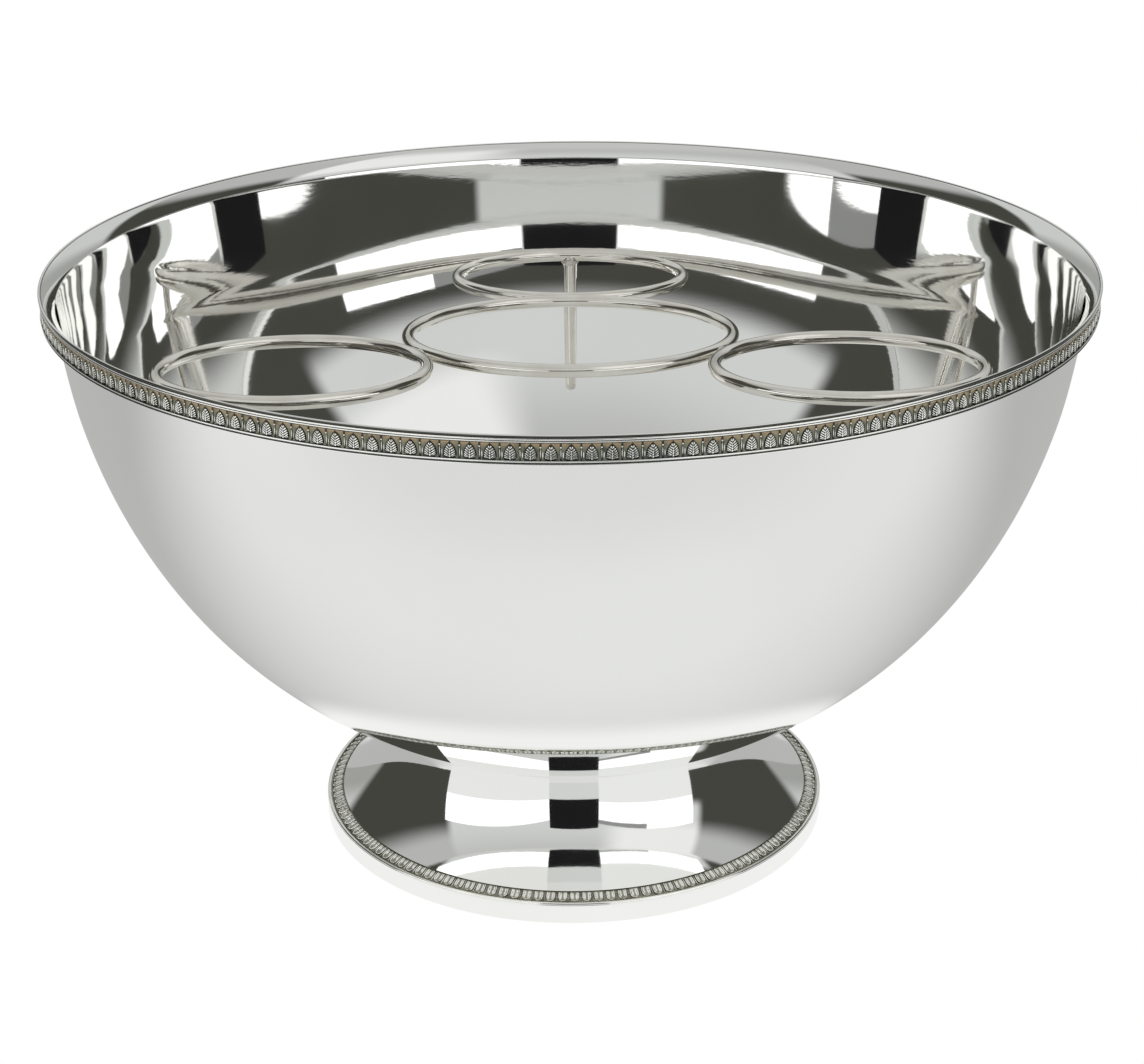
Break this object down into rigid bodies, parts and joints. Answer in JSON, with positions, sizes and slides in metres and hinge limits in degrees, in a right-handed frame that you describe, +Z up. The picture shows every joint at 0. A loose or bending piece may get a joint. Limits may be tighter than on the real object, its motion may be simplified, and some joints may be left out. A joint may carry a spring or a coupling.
{
  "type": "punch bowl",
  "caption": "Round footed punch bowl in polished silver plate with leaf border strips, and a loose wire rack inside that holds bottles upright.",
  "frame": {"origin": "centre of the foot's underside, on the table", "axes": "+Z up along the bowl's axis; -Y is the front; +X is to the right seen from the front"},
  "size_m": [0.4199, 0.42, 0.244],
  "materials": {
    "polished_silver": "mirror-polished silver plate over brass, with fine wipe marks",
    "aged_border": "stamped silver plate, polished on the high points and dark in the hollows",
    "bead_wire": "polished drawn wire, slightly worn",
    "rack_wire": "silver-plated wire, slightly warm and softly polished",
    "solder": "dull silver solder"
  },
  "bodies": {
    "bowl": {"bowl_body": "polished_silver", "rim_lip": "polished_silver", "rim_edge_wire": "bead_wire", "rim_upper_bead": "bead_wire", "rim_second_bead": "bead_wire", "rim_border": "aged_border", "rim_lower_bead": "bead_wire", "rim_bottom_bead": "bead_wire", "neck_solder": "solder", "foot_body": "polished_silver", "foot_border": "aged_border", "foot_wire": "bead_wire", "foot_band": "polished_silver"},
    "rack": {"rack_ring_middle": "rack_wire", "rack_ring_back": "rack_wire", "rack_ring_left": "rack_wire", "rack_ring_right": "rack_wire", "rack_leg_back": "rack_wire", "rack_leg_left": "rack_wire", "rack_leg_right": "rack_wire", "ring_solder_back": "solder", "ring_solder_left": "solder", "ring_solder_right": "solder", "leg_solder_back": "solder", "leg_solder_left": "solder", "leg_solder_right": "solder"}
  },
  "joints": [
    {"name": "rack_lift", "type": "slide", "parent": "bowl", "child": "rack", "axis": [0, 0, 1], "range_m": [0, 0.16]}
  ]
}
